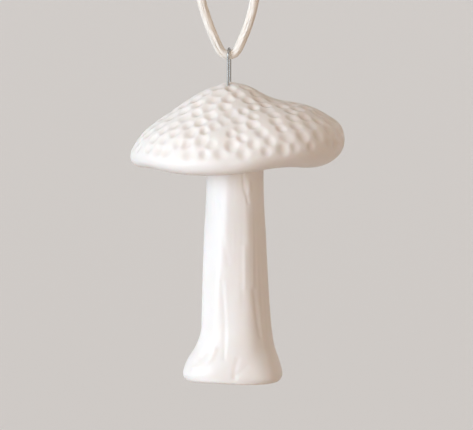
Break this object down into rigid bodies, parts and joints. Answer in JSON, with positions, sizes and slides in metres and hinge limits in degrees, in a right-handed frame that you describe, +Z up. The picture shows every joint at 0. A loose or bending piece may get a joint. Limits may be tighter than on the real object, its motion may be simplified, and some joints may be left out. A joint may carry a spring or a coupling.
{
  "type": "hanging mushroom ornament",
  "caption": "White glazed mushroom ornament with a dimpled cap, a faceted stem and a wire eye, hung from a knotted loop of pale cord.",
  "frame": {"origin": "hang point: the top inside of the cord loop, on the knot's underside, midway between the two strands", "axes": "+Z up along the hanging cord, +X towards the cap's rounded lobe, -Y towards the front that the picture shows"},
  "size_m": [0.0466, 0.0429, 0.129],
  "materials": {
    "porcelain": "gloss",
    "slip": "gloss",
    "wire": "satin",
    "cord": "satin"
  },
  "bodies": {
    "hanger": {"cord": "cord", "cord_knot": "cord", "cord_ends": "cord"},
    "ornament": {"cap": "porcelain", "stem": "porcelain", "luting_slip": "slip", "hanging_wire": "wire"}
  },
  "joints": [
    {"name": "cord_swing", "type": "hinge", "parent": "hanger", "child": "ornament", "pos_m": [0, 0, -0.042], "axis": [1, 0, 0], "range_deg": [-125, 125]}
  ]
}
